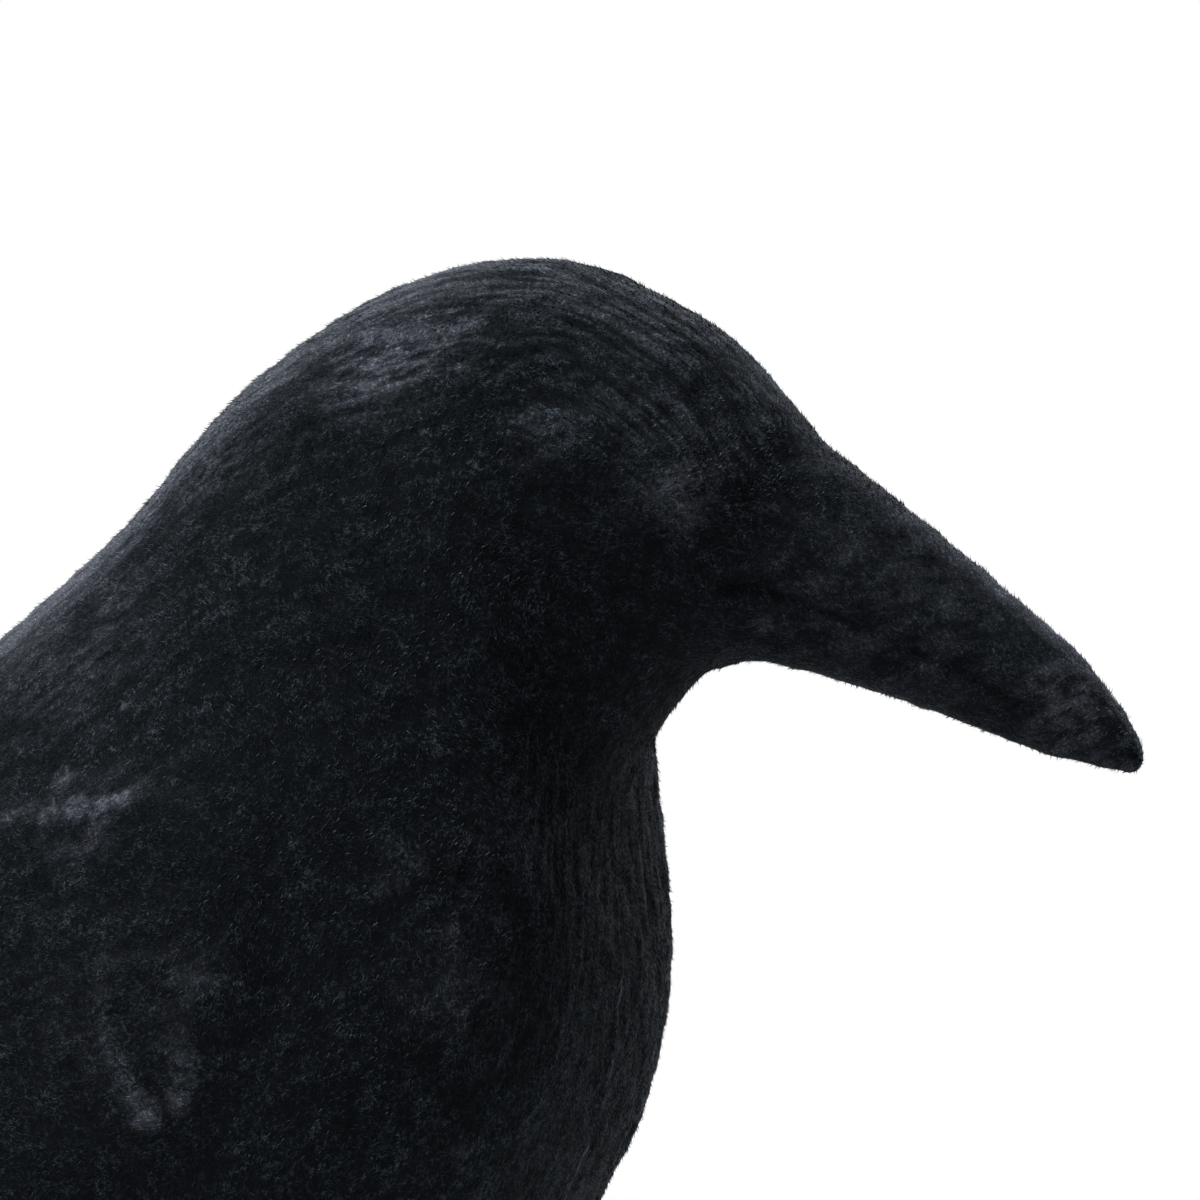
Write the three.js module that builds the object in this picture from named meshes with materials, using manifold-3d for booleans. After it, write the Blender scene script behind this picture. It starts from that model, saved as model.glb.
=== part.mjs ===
// A flocked crow decoy: one moulded shell in the shape of a standing crow with its wings
// folded, cut flat below where it rests. Millimetres, the bill towards +X and +Z up, with
// the origin on the flat underside.
import * as THREE from "three";
import { mergeVertices } from "three/addons/utils/BufferGeometryUtils.js";
import Module from "manifold-3d";

// Driving sizes
const height = 167; // floor to the top of the crown
const width = 101; // across the folded wings
const eyeRadius = 5.3; // the low dome that stands for the eye
const eyeRise = 1.3;
const eyeSocket = 0.5; // depth of the hollow round it
const tuftRadius = 7.5; // the bristly swelling over the nostril
const tuftRise = 1.2;
const mouthDepth = 0.8; // the line between the two halves of the bill
const faceGroove = 0.5; // where the feathers of the face end at the bill
const wingRise = 3.0; // the folded wing over the flank
const wingEdge = 9; // the breadth over which its rim rises
const shoulderRise = 1.8; // the bend of the wing, on top of that
const featherRise = 1.9; // the laps of the wing's and the tail's feathers
const longFeathers = 3; // broad laps along the folded wing
const napeHollow = 2.1; // depth of the dip in the back behind the nape
const backGroove = 1.4; // between the two folded wings
const backGrooveHalf = 6; // half its breadth
const tipLength = 2.4; // the rounding of the bill's tip
const tailEndLength = 24; // the rounding of the tail's end, seen from above
const pointsRound = 50;

// The carving, as stations from the bill's tip to the tail's end. top and bottom are points
// of the middle line over and under the bird, as shares of the height. half is the half
// width as a share of the whole width, and square makes its section round (2) or squarer.
// low moves the widest place down, and rows is how many rows of faces lead to the next.
const stations = [
  { top: [1.163, 0.645], bottom: [1.161, 0.622], half: 0.026, square: 2.0, low: 0.0, rows: 5 },
  { top: [1.116, 0.709], bottom: [1.093, 0.636], half: 0.058, square: 2.0, low: 0.1, rows: 5 },
  { top: [1.021, 0.788], bottom: [0.989, 0.672], half: 0.092, square: 2.0, low: 0.2, rows: 5 },
  { top: [0.92, 0.865], bottom: [0.878, 0.702], half: 0.128, square: 2.0, low: 0.2, rows: 6 },
  { top: [0.885, 0.898], bottom: [0.836, 0.698], half: 0.156, square: 2.1, low: 0.1, rows: 5 },
  { top: [0.822, 0.957], bottom: [0.807, 0.682], half: 0.19, square: 2.0, low: 0.0, rows: 9 },
  { top: [0.706, 1.003], bottom: [0.755, 0.604], half: 0.226, square: 2.2, low: 0.08, rows: 9 },
  { top: [0.575, 0.979], bottom: [0.758, 0.466], half: 0.305, square: 2.4, low: 0.32, rows: 7 },
  { top: [0.43, 0.878], bottom: [0.737, 0.356], half: 0.395, square: 2.45, low: 0.3, rows: 7 },
  { top: [0.26, 0.708], bottom: [0.674, 0.238], half: 0.458, square: 2.5, low: 0.25, rows: 7 },
  { top: [0.055, 0.577], bottom: [0.564, 0.118], half: 0.472, square: 2.5, low: 0.2, rows: 6 },
  { top: [-0.199, 0.43], bottom: [0.385, -0.004], half: 0.458, square: 2.5, low: 0.1, rows: 6 },
  { top: [-0.453, 0.304], bottom: [0.032, -0.045], half: 0.395, square: 2.4, low: 0.0, rows: 6 },
  { top: [-0.683, 0.208], bottom: [-0.437, 0.008], half: 0.31, square: 2.5, low: 0.0, rows: 6 },
  { top: [-0.858, 0.136], bottom: [-0.775, 0.058], half: 0.245, square: 2.8, low: 0.0, rows: 6 },
  { top: [-1.0, 0.092], bottom: [-0.972, 0.062], half: 0.262, square: 3.0, low: 0.0, rows: 0 },
];
const lastStation = stations.length - 1;

// Places on the head are seen from the side, as shares of the height.
const eye = [0.767, 0.8625];
const eyeSocketAt = 1.5; // where the hollow lies, in eye radii from the middle of the eye
const eyeSocketHalf = 0.5;
const tuft = [0.837, 0.833];

// Places elsewhere are stations, and heights on the section from 0 below to 1 on the back.
const headEnd = 8;
const mouthLine = [0.2, 0.36, 0.38, 0.35, 0.3]; // its height on the bill, from station 0
const mouthEnds = [0.3, 3.7];
const mouthHalf = 0.06;
const faceEdge = [3.55, 3.94, 3.45, 3]; // where the bill ends, from below to the top
const faceEdgeHalf = 0.2;
const wingFront = { station: 8.35, height: 0.52, round: 13 };
const wingPoint = { station: 14.5, side: 0.42, inner: 0.32, outer: 0.5 }; // its end, on the tail
const wingLow = [0.4, 0.36, 0.32, 0.31, 0.36, 0.52, 0.66, 0.72]; // its lower edge, from station 8
const shoulder = { station: 9.05, half: 0.55, height: 0.5, halfHeight: 0.2, slant: 0.09 };
const nape = { station: 8.31, half: 0.37, height: [0.5, 0.9] }; // the dip behind it
const saddle = { height: [0.68, 0.9], station: [11, 13] }; // the back, which hides the wings
const coverts = { from: 9.25, to: 10.9, length: 0.7, slant: 0.5, share: 0.6 }; // short feathers
const tailFeathers = { from: 13.6, breadth: 0.42, share: 0.6 }; // breadth is a share of half the tail
const backGrooveEnd = { station: 13.4, over: 1.4 }; // the groove between the wings dies away
const tailFeathersEnd = { station: 14.85, over: 0.25 }; // and the tail's feathers

const clamp = THREE.MathUtils.clamp;
const rising = THREE.MathUtils.smoothstep; // (value, from, to)
const bell = (value) => Math.exp(-value * value);

// A smooth curve through the values, which are one station apart.
function through(values, t) {
  const last = values.length - 1;
  const i = clamp(Math.floor(t), 0, last - 1);
  const f = t - i;
  const before = i > 0 ? values[i - 1] : 2 * values[0] - values[1];
  const after = i + 1 < last ? values[i + 2] : 2 * values[last] - values[last - 1];
  const [a, b, c, d] = [before, values[i], values[i + 1], after];
  return b + 0.5 * f * (c - a + f * (2 * a - 5 * b + 4 * c - d + f * (3 * (b - c) + d - a)));
}

const column = (pick) => stations.map(pick);
const topX = column((s) => s.top[0] * height);
const topZ = column((s) => s.top[1] * height);
const bottomX = column((s) => s.bottom[0] * height);
const bottomZ = column((s) => s.bottom[1] * height);
const halfWidth = column((s) => s.half * width);
const sectionTall = topX.map((x, i) => Math.hypot(x - bottomX[i], topZ[i] - bottomZ[i]));
const squareness = column((s) => s.square);
const lowness = column((s) => s.low);

// From one station to the next along the back, at the tip, over the wing and at the tail.
const stationLength = (i) => Math.hypot(topX[i + 1] - topX[i], topZ[i + 1] - topZ[i]);
const tipStation = stationLength(0);
const wingStation = stationLength(8) * 0.75; // the stations fan out, so less on the flank
const tailStation = stationLength(lastStation - 1);

// How far the section has closed towards an end that is "away" from it, over a length.
const closing = (away, length) => Math.sqrt(1 - (1 - clamp(away / length, 0, 1)) ** 2);

// A place on the section at station t: rise from -1 below to 1 on the back, and side from
// -1 to 1 across. turn goes round it, from 0 on the back to PI below.
function onSection(t, turn) {
  const power = 2 / through(squareness, t);
  const rounded = (v) => Math.sign(v) * Math.abs(v) ** power;
  const up = rounded(Math.cos(turn));
  return { rise: up - through(lowness, t) * (1 - up * up), side: rounded(Math.sin(turn)) };
}

// The smooth body, before any relief.
function smoothBody(t, turn) {
  const { rise, side } = onSection(t, turn);
  const tip = closing(t * tipStation, tipLength);
  const fromEnd = (lastStation - t) * tailStation;
  const up = rise * tip * closing(fromEnd, tailEndLength / 3);
  const across = side * tip * closing(fromEnd, tailEndLength);
  const x = [through(bottomX, t), through(topX, t)];
  const z = [through(bottomZ, t), through(topZ, t)];
  return new THREE.Vector3(
    (x[0] + x[1] + (x[1] - x[0]) * up) / 2,
    through(halfWidth, t) * across,
    (z[0] + z[1] + (z[1] - z[0]) * up) / 2,
  );
}

// The folded wing: how far inside its rim a place lies, in mm. Its front is round, and its hind
// end is a point to the side of the middle, so that the tail shows between the two wings.
const wingLowAt = (t) => through(wingLow, clamp(t - 8, 0, wingLow.length - 1));
function insideWing(t, h, side) {
  const front = wingFront.station + wingFront.round * (h - wingFront.height) ** 2;
  const before = (wingPoint.station - t) * tailStation;
  const beside = (side - wingPoint.side) * through(halfWidth, t);
  const hind = Math.min(wingPoint.inner * before + beside, wingPoint.outer * before - beside);
  const along = Math.min((t - front) * wingStation, hind);
  const up = (h - wingLowAt(t)) * (through(sectionTall, t) / 2 + through(halfWidth, t));
  const outside = Math.hypot(Math.min(along, 0), Math.min(up, 0));
  return outside > 0 ? -outside : Math.min(along, up);
}

// Overlapping feathers: each rises slowly over its length and ends in a short fall.
const fallStart = 0.82;
function lapped(phase) {
  const f = phase - Math.floor(phase);
  return f < fallStart ? f / fallStart : (1 - f) / (1 - fallStart);
}

// From 0 to 1 over some stations, half way at the one given.
const from = (t, station, over) => rising(t, station - over / 2, station + over / 2);

function wingRelief(t, h, side) {
  const rim = rising(insideWing(t, h, side), -wingEdge / 2, wingEdge / 2);
  const bend = bell((t - shoulder.station) / shoulder.half);
  const bendHeight = shoulder.height - shoulder.slant * (t - shoulder.station);
  const bendHere = bend * bell((h - bendHeight) / shoulder.halfHeight);
  const low = wingLowAt(t);
  const across = (longFeathers * (h - low)) / (1 - low);
  const long = lapped(0.5 - across) * from(t, coverts.to, 0.8); // half the lowest one shows
  const between = from(t, coverts.from, 0.5) * (1 - from(t, coverts.to, 0.6));
  const short = lapped((t - coverts.slant * h) / coverts.length) * between;
  const shown = 1 - rising(h, ...saddle.height) * (1 - rising(t, ...saddle.station));
  const laps = featherRise * (long + coverts.share * short - 0.5);
  return (wingRise + laps) * rim * shown + shoulderRise * bendHere;
}

// The eye, the tuft over the nostril and the line of the mouth.
function headRelief(t, h, at) {
  const away = (place, radius) =>
    Math.hypot(at.x - place[0] * height, at.z - place[1] * height) / radius;
  const eyeAway = away(eye, eyeRadius);
  let out = eyeRise * Math.max(0, 1 - eyeAway * eyeAway);
  out -= eyeSocket * bell((eyeAway - eyeSocketAt) / eyeSocketHalf);
  out += tuftRise * bell(away(tuft, tuftRadius));
  const mouth = through(mouthLine, clamp(t, 0, mouthLine.length - 1));
  const length = from(t, mouthEnds[0], 0.4) * (1 - from(t, mouthEnds[1], 0.6));
  return out - mouthDepth * length * bell((h - mouth) / mouthHalf);
}

function relief(t, turn, at) {
  const { rise, side } = onSection(t, turn);
  const h = (1 + rise) / 2; // 0 below and 1 on the back
  const onSides = rising(Math.abs(Math.sin(turn)), 0.1, 0.5); // 0 on the middle line
  const faceEnd = through(faceEdge, h * (faceEdge.length - 1));
  let out = -faceGroove * rising(h, 0, 0.4) * bell((t - faceEnd) / faceEdgeHalf);
  if (t < headEnd) out += onSides * headRelief(t, h, at);
  else out += rising(t, headEnd, wingFront.station) * wingRelief(t, h, Math.abs(side));
  out -= napeHollow * bell((t - nape.station) / nape.half) * rising(h, ...nape.height);
  const groove = bell(at.y / backGrooveHalf) * from(t, coverts.to, 1);
  const grooveEnd = from(t, backGrooveEnd.station, backGrooveEnd.over);
  if (h > 0.5) out -= backGroove * groove * (1 - grooveEnd);
  const fan = Math.abs(at.y) / (through(halfWidth, t) * tailFeathers.breadth);
  const tailEnd = from(t, tailFeathersEnd.station, tailFeathersEnd.over);
  const tailHere = from(t, tailFeathers.from, 0.8) * (1 - tailEnd);
  return out + tailFeathers.share * featherRise * (lapped(fan) - 0.5) * tailHere;
}

// The carved surface: the smooth body moved along its normal by the relief.
function carved(t, turn) {
  const step = 0.01;
  const at = smoothBody(t, turn);
  const along = smoothBody(t + step, turn).sub(smoothBody(t - step, turn));
  const round = smoothBody(t, turn + step).sub(smoothBody(t, turn - step));
  const normal = round.cross(along).normalize();
  return at.addScaledVector(normal, relief(t, turn, at));
}

// One closed skin: rings of points from the bill's tip to the tail's end, and a point at each end.
// The rings nearest the ends lie close to them, in stations.
const tipRings = [0.03, 0.09];
const tailEndRing = 0.03;
function skinOf(surface) {
  const rings = [];
  stations.forEach((station, i) => {
    for (let k = 0; k < station.rows; k++) rings.push(i + k / station.rows);
  });
  rings.splice(0, 1, ...tipRings);
  rings.push(lastStation - tailEndRing);
  const points = [];
  const faces = [];
  rings.forEach((t) => {
    for (let j = 0; j < pointsRound; j++) {
      const p = surface(t, (2 * Math.PI * j) / pointsRound);
      points.push(p.x, p.y, p.z);
    }
  });
  const ringPoint = (i, j) => i * pointsRound + (j % pointsRound);
  for (let i = 0; i + 1 < rings.length; i++) {
    for (let j = 0; j < pointsRound; j++) {
      const [a, b] = [ringPoint(i, j), ringPoint(i, j + 1)];
      const [c, d] = [ringPoint(i + 1, j), ringPoint(i + 1, j + 1)];
      faces.push(a, b, c, b, d, c);
    }
  }
  const tip = smoothBody(0, 0);
  const end = smoothBody(lastStation, 0);
  points.push(tip.x, tip.y, tip.z, end.x, end.y, end.z);
  const tipPoint = rings.length * pointsRound;
  for (let j = 0; j < pointsRound; j++) {
    faces.push(tipPoint, ringPoint(0, j + 1), ringPoint(0, j));
    faces.push(tipPoint + 1, ringPoint(rings.length - 1, j), ringPoint(rings.length - 1, j + 1));
  }
  const geometry = new THREE.BufferGeometry();
  geometry.setAttribute("position", new THREE.Float32BufferAttribute(points, 3));
  geometry.setIndex(faces);
  return geometry;
}

const wasm = await Module();
wasm.setup();

function solidOf(geometry) {
  const bare = geometry.clone();
  bare.deleteAttribute("normal");
  bare.deleteAttribute("uv");
  const merged = mergeVertices(bare, 1e-4);
  const vertProperties = new Float32Array(merged.attributes.position.array);
  const triVerts = new Uint32Array(merged.index.array);
  return new wasm.Manifold(new wasm.Mesh({ numProp: 3, vertProperties, triVerts }));
}

function geometryOf(solid) {
  const mesh = solid.getMesh();
  const geometry = new THREE.BufferGeometry();
  geometry.setAttribute("position", new THREE.BufferAttribute(mesh.vertProperties, 3));
  geometry.setIndex(new THREE.BufferAttribute(mesh.triVerts, 1));
  geometry.computeVertexNormals();
  return geometry;
}

// What lies under the floor is cut off, which leaves the flat that the bird rests on.
const underFloor = new THREE.BoxGeometry(4 * height, 2 * width, height);
underFloor.translate(0, 0, -height / 2);
const body = solidOf(skinOf(carved)).subtract(solidOf(underFloor));

const flock = new THREE.MeshStandardMaterial({ color: 0x1c1f23, roughness: 0.95, metalness: 0 });
const decoyBody = new THREE.Mesh(geometryOf(body), flock);
decoyBody.name = "decoy_body";

const crowDecoy = new THREE.Group();
crowDecoy.add(decoyBody);
export default crowDecoy;
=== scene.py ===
import math

import bpy
import numpy as np
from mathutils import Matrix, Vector, noise


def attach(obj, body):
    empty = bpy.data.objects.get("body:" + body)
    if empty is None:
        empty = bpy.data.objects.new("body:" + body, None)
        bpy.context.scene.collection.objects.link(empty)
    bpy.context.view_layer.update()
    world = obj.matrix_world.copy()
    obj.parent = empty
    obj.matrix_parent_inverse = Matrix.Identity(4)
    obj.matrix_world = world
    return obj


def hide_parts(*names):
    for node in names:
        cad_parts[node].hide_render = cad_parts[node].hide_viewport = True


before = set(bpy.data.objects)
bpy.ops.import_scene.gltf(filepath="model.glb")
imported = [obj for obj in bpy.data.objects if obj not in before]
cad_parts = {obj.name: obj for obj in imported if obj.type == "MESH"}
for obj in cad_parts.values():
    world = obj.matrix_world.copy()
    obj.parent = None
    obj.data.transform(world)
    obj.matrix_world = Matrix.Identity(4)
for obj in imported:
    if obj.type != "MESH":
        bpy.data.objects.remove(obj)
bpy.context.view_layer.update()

# A crow decoy: one moulded shell with its feathers in low relief, covered all over in black
# flock. Shapes are worked out in millimetres, with the bill towards +X and +Z up, and the
# meshes are made in metres.
mm = 0.001


# The camera stands where the photograph was taken from.
view = {"target": (123.7, 0, 125), "azimuth": 20, "elevation": 1, "distance": 900,
        "fieldWidth": 150, "sensor": 36, "clip": (0.05, 50)}

def makeCamera():
    cam = bpy.data.cameras.new("photo_camera")
    cam.sensor_width = view["sensor"]
    cam.lens = view["sensor"] * view["distance"] / view["fieldWidth"]
    cam.clip_start, cam.clip_end = view["clip"]
    holder = bpy.data.objects.new("photo_camera", cam)
    bpy.context.collection.objects.link(holder)
    a, e = math.radians(view["azimuth"]), math.radians(view["elevation"])
    back = Vector((math.sin(a) * math.cos(e), -math.cos(a) * math.cos(e), math.sin(e)))
    holder.location = (Vector(view["target"]) + back * view["distance"]) * mm
    holder.rotation_mode = "QUATERNION"
    holder.rotation_quaternion = (-back).to_track_quat("-Z", "Y")
    bpy.context.scene.camera = holder

makeCamera()
print("camera ready")


# The shell: a loft through stations from the bill's tip to the tail's end. top and bottom are
# points of the middle line over and under the bird, as shares of its height. half is the half
# width as a share of the width, square makes a section round (2) or squarer, and low moves
# its widest place down.
shell = {
    "height": 167, "width": 101,
    "tipLength": 2.4, "tailEndLength": 24, "tailEndFlat": 3,     # the tail's end closes as a blade
    "girthShare": 0.8,                       # of a section's height and width together
    "meshStep": 0.93,                        # from one point of the mesh to the next
    "headFiner": 0.2, "headBetween": (3, 8, 0.6), "hindCoarser": 0.75, "hindFrom": (9.3, 11),
    "bellyCoarser": 0.85, "lengthSteps": 6001,
    "tipRings": (0.004, 0.014, 0.03), "tailRings": (0.02, 0.006), "ringPoints": 24,
    "stations": [
        {"top": (1.163, 0.645), "bottom": (1.161, 0.622), "half": 0.026, "square": 2.0, "low": 0},
        {"top": (1.116, 0.709), "bottom": (1.093, 0.636), "half": 0.058, "square": 2.0, "low": 0.1},
        {"top": (1.021, 0.788), "bottom": (0.989, 0.672), "half": 0.092, "square": 2.0, "low": 0.2},
        {"top": (0.92, 0.865), "bottom": (0.878, 0.702), "half": 0.128, "square": 2.0, "low": 0.2},
        {"top": (0.885, 0.898), "bottom": (0.836, 0.698), "half": 0.156, "square": 2.1, "low": 0.1},
        {"top": (0.822, 0.957), "bottom": (0.807, 0.682), "half": 0.19, "square": 2.0, "low": 0},
        {"top": (0.706, 1.003), "bottom": (0.755, 0.604), "half": 0.226, "square": 2.2, "low": 0.08},
        {"top": (0.575, 0.979), "bottom": (0.758, 0.466), "half": 0.305, "square": 2.4, "low": 0.32},
        {"top": (0.43, 0.878), "bottom": (0.737, 0.356), "half": 0.395, "square": 2.45, "low": 0.3},
        {"top": (0.26, 0.708), "bottom": (0.674, 0.238), "half": 0.458, "square": 2.5, "low": 0.25},
        {"top": (0.055, 0.577), "bottom": (0.564, 0.118), "half": 0.472, "square": 2.5, "low": 0.2},
        {"top": (-0.199, 0.43), "bottom": (0.385, -0.004), "half": 0.458, "square": 2.5, "low": 0.1},
        {"top": (-0.453, 0.304), "bottom": (0.032, -0.045), "half": 0.395, "square": 2.4, "low": 0},
        {"top": (-0.683, 0.208), "bottom": (-0.437, 0.008), "half": 0.31, "square": 2.5, "low": 0},
        {"top": (-0.858, 0.136), "bottom": (-0.775, 0.058), "half": 0.245, "square": 2.8, "low": 0},
        {"top": (-1, 0.092), "bottom": (-0.972, 0.062), "half": 0.262, "square": 3.0, "low": 0},
    ],
}
lastStation = len(shell["stations"]) - 1

def column(key, scale, part=None):
    picked = [s[key] if part is None else s[key][part] for s in shell["stations"]]
    return np.array(picked, float) * scale

topX, topZ = column("top", shell["height"], 0), column("top", shell["height"], 1)
bottomX, bottomZ = column("bottom", shell["height"], 0), column("bottom", shell["height"], 1)
halfWidth = column("half", shell["width"])
squareness, lowness = column("square", 1), column("low", 1)
sectionTall = np.hypot(topX - bottomX, topZ - bottomZ)
girth = shell["girthShare"] * (sectionTall + 2 * halfWidth)      # half way round a section
backStep = np.hypot(np.diff(topX), np.diff(topZ))
middleStep = np.hypot(np.diff(topX + bottomX), np.diff(topZ + bottomZ)) / 2
middleLength = np.concatenate([[0], np.cumsum(middleStep)])

def through(values, t):            # a smooth curve through values that are one station apart
    v = np.concatenate([[2 * values[0] - values[1]], values, [2 * values[-1] - values[-2]]])
    i = np.clip(np.floor(t).astype(int), 0, len(values) - 2)
    f = t - i
    a, b, c, d = v[i], v[i + 1], v[i + 2], v[i + 3]
    return b + 0.5 * f * (c - a + f * (2 * a - 5 * b + 4 * c - d + f * (3 * (b - c) + d - a)))

def rising(value, start, end):
    s = np.clip((value - start) / (end - start), 0, 1)
    return s * s * (3 - 2 * s)

def bell(value):
    return np.exp(-value * value)

def between(value, start, end, soft):        # 1 from start to end, with soft ends
    return rising(value, start - soft, start + soft) * (1 - rising(value, end - soft, end + soft))

def closing(away, length):                   # 1 in full, and down to 0 where an end closes
    return np.sqrt(1 - (1 - np.clip(away / length, 0, 1)) ** 2)

def onSection(t, turn):                      # rise from -1 below to 1 on the back, and side
    power = 2 / through(squareness, t)
    up = np.sign(np.cos(turn)) * np.abs(np.cos(turn)) ** power
    side = np.sign(np.sin(turn)) * np.abs(np.sin(turn)) ** power
    return up - through(lowness, t) * (1 - up * up), side

def smoothBody(t, turn):                     # the body before any relief
    rise, side = onSection(t, turn)
    tip = closing(t * backStep[0], shell["tipLength"])
    fromEnd = (lastStation - t) * backStep[-1]
    up = rise * tip * closing(fromEnd, shell["tailEndLength"] / shell["tailEndFlat"])
    across = side * tip * closing(fromEnd, shell["tailEndLength"])
    x0, x1 = through(bottomX, t), through(topX, t)
    z0, z1 = through(bottomZ, t), through(topZ, t)
    return np.stack([(x0 + x1 + (x1 - x0) * up) / 2, through(halfWidth, t) * across,
                     (z0 + z1 + (z1 - z0) * up) / 2], axis=-1)


# The carving in relief, in millimetres. Places on the head are seen from the side, as shares
# of the height. Others are stations, and heights on the section from 0 below to 1 on the back.
head = {
    "eye": (0.767, 0.8625), "eyeRadius": 5.3, "eyeRise": 1.0,
    "eyeSocket": 0.3, "socketAway": 1.45, "socketHalf": 0.4,    # its place and half width in radii
    "tuft": (0.837, 0.833), "tuftRadius": 7.5, "tuftRise": 1.2,
    "mouthLine": (0.2, 0.36, 0.38, 0.35, 0.3), "mouthEnds": (0.3, 3.7), "mouthFade": (0.4, 0.6),
    "mouthDepth": 1.2, "mouthHalf": 0.055,
    "faceEdge": (3.55, 3.94, 3.45, 3), "faceGroove": 0.15, "faceHalf": 0.2, "faceRise": (0, 0.4),
    "sides": (0.1, 0.5),                     # no eye, mouth or fold reaches the middle line
    "end": 8,                                # the station where the neck begins
}
wing = {
    "front": 8.35, "frontHeight": 0.52, "frontRound": 13,
    "point": 14.5, "pointSide": 0.42, "pointInner": 0.32, "pointOuter": 0.5,      # its hind end
    "low": (0.4, 0.36, 0.32, 0.31, 0.36, 0.52, 0.66, 0.72),  # its lower edge, by station
    "lowFrom": 8,
    "rise": 3.0, "edge": 8.0, "frontEdge": 17, "edgeNarrows": (9.2, 10.4),  # its rim, and how broad
    "shoulder": 9.05, "shoulderLong": 0.55, "shoulderHeight": 0.5, "shoulderTall": 0.2,
    "shoulderSlant": 0.09, "shoulderRise": 0.5,
    "featherRise": 1.7, "longFeathers": 6, "fallStart": 0.82,
    "smoothRim": (1, 8),                     # no feathers this near to its rim
    "coverts": (9.25, 10.9), "covertFade": (0.5, 0.6), "longFade": 0.8,     # the short feathers
    "covertLong": 0.7, "covertSlant": 0.5, "covertShare": 0.6,
    "mantle": (0.68, 0.9), "mantleFade": (11, 13),      # it hides the feathers near the back
    "backGroove": 1.4, "backGrooveHalf": 6, "backGrooveEnd": 13.4, "backGrooveFade": 1.4,
    "napeHollow": 2.1, "nape": 8.31, "napeHalf": 0.37, "napeHeight": (0.5, 0.9),
    "fan": 0.75,                             # the stations fan out, so less from one to the next
}
tail = {
    "from": 13.6, "end": 14.85, "fade": (0.8, 0.25),
    "feather": 0.42, "share": 0.6,           # its width in the tail's half, its rise in the wing's
}
wingStep = backStep[wing["lowFrom"]] * wing["fan"]

# Raised folds of the plumage on both sides, seen from the side: the points each passes through.
folds = [
    {"line": [(77, 80), (78.5, 72), (81.5, 66), (84.5, 63)], "half": 1.1, "rise": 0.8},
    {"line": [(89.5, 79), (88.5, 72), (88, 67.5), (86.8, 64.5)], "half": 1.1, "rise": 0.7},
    {"line": [(110, 93), (113, 94.5)], "half": 1.3, "rise": 0.35},
    {"line": [(115, 88.5), (118, 86)], "half": 1.2, "rise": 0.35},
    {"line": [(117, 78), (118.5, 74), (117.5, 71)], "half": 1.1, "rise": 0.4},
    {"line": [(117, 54), (123, 63), (127, 72)], "half": 1.1, "rise": 0.3},
    {"line": [(108, 52), (115, 63)], "half": 1.1, "rise": 0.3},
]

def lapped(phase):                           # feathers that rise slowly and end in a short fall
    f = phase - np.floor(phase)
    fall = wing["fallStart"]
    return np.where(f < fall, f / fall, (1 - f) / (1 - fall))

def past(t, station, over):                  # 0 to 1 over some stations, half way at the one given
    return rising(t, station - over / 2, station + over / 2)

def wingLow(t):
    return through(np.array(wing["low"]), np.clip(t - wing["lowFrom"], 0, len(wing["low"]) - 1))

def insideWing(t, h, side):                  # how far inside its rim a place lies
    front = wing["front"] + wing["frontRound"] * (h - wing["frontHeight"]) ** 2
    before = (wing["point"] - t) * backStep[-1]
    beside = (side - wing["pointSide"]) * through(halfWidth, t)
    hind = np.minimum(wing["pointInner"] * before + beside, wing["pointOuter"] * before - beside)
    along = np.minimum((t - front) * wingStep, hind)
    up = (h - wingLow(t)) * (through(sectionTall, t) / 2 + through(halfWidth, t))
    outside = np.hypot(np.minimum(along, 0), np.minimum(up, 0))
    return np.where(outside > 0, -outside, np.minimum(along, up))

def longHere(t):
    return past(t, wing["coverts"][1], wing["longFade"])

def longPhase(t, h):                         # whole where one long feather leaves the next
    low = wingLow(t)
    return 0.5 - wing["longFeathers"] * (h - low) / (1 - low)

def uncovered(t, h):                         # 0 where the mantle's feathers lie over the wing
    return 1 - rising(h, *wing["mantle"]) * (1 - rising(t, *wing["mantleFade"]))

def wingRelief(t, h, side):
    broader = wing["frontEdge"] - wing["edge"]
    edge = wing["edge"] + broader * (1 - rising(t, *wing["edgeNarrows"]))
    inside = insideWing(t, h, side)
    rim = rising(inside, -edge / 2, edge / 2)
    bendHeight = wing["shoulderHeight"] - wing["shoulderSlant"] * (t - wing["shoulder"])
    bend = bell((t - wing["shoulder"]) / wing["shoulderLong"])
    bend *= bell((h - bendHeight) / wing["shoulderTall"])
    (first, last), (firstFade, lastFade) = wing["coverts"], wing["covertFade"]
    long = lapped(longPhase(t, h)) * longHere(t)
    short = lapped((t - wing["covertSlant"] * h) / wing["covertLong"])
    short = short * past(t, first, firstFade) * (1 - past(t, last, lastFade))
    laps = long + wing["covertShare"] * short - 0.5
    laps = wing["featherRise"] * laps * rising(inside, *wing["smoothRim"])
    return (wing["rise"] + laps) * rim * uncovered(t, h) + wing["shoulderRise"] * bend

def headRelief(t, h, at):
    def away(place, radius):
        x, z = place[0] * shell["height"], place[1] * shell["height"]
        return np.hypot(at[..., 0] - x, at[..., 2] - z) / radius
    eyeAway = away(head["eye"], head["eyeRadius"])
    out = head["eyeRise"] * np.maximum(0, 1 - eyeAway ** 2)
    out -= head["eyeSocket"] * bell((eyeAway - head["socketAway"]) / head["socketHalf"])
    out += head["tuftRise"] * bell(away(head["tuft"], head["tuftRadius"]))
    line = np.array(head["mouthLine"])
    mouth = through(line, np.clip(t, 0, len(line) - 1))
    (first, last), (firstFade, lastFade) = head["mouthEnds"], head["mouthFade"]
    length = past(t, first, firstFade) * (1 - past(t, last, lastFade))
    return out - head["mouthDepth"] * length * bell((h - mouth) / head["mouthHalf"])

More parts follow.
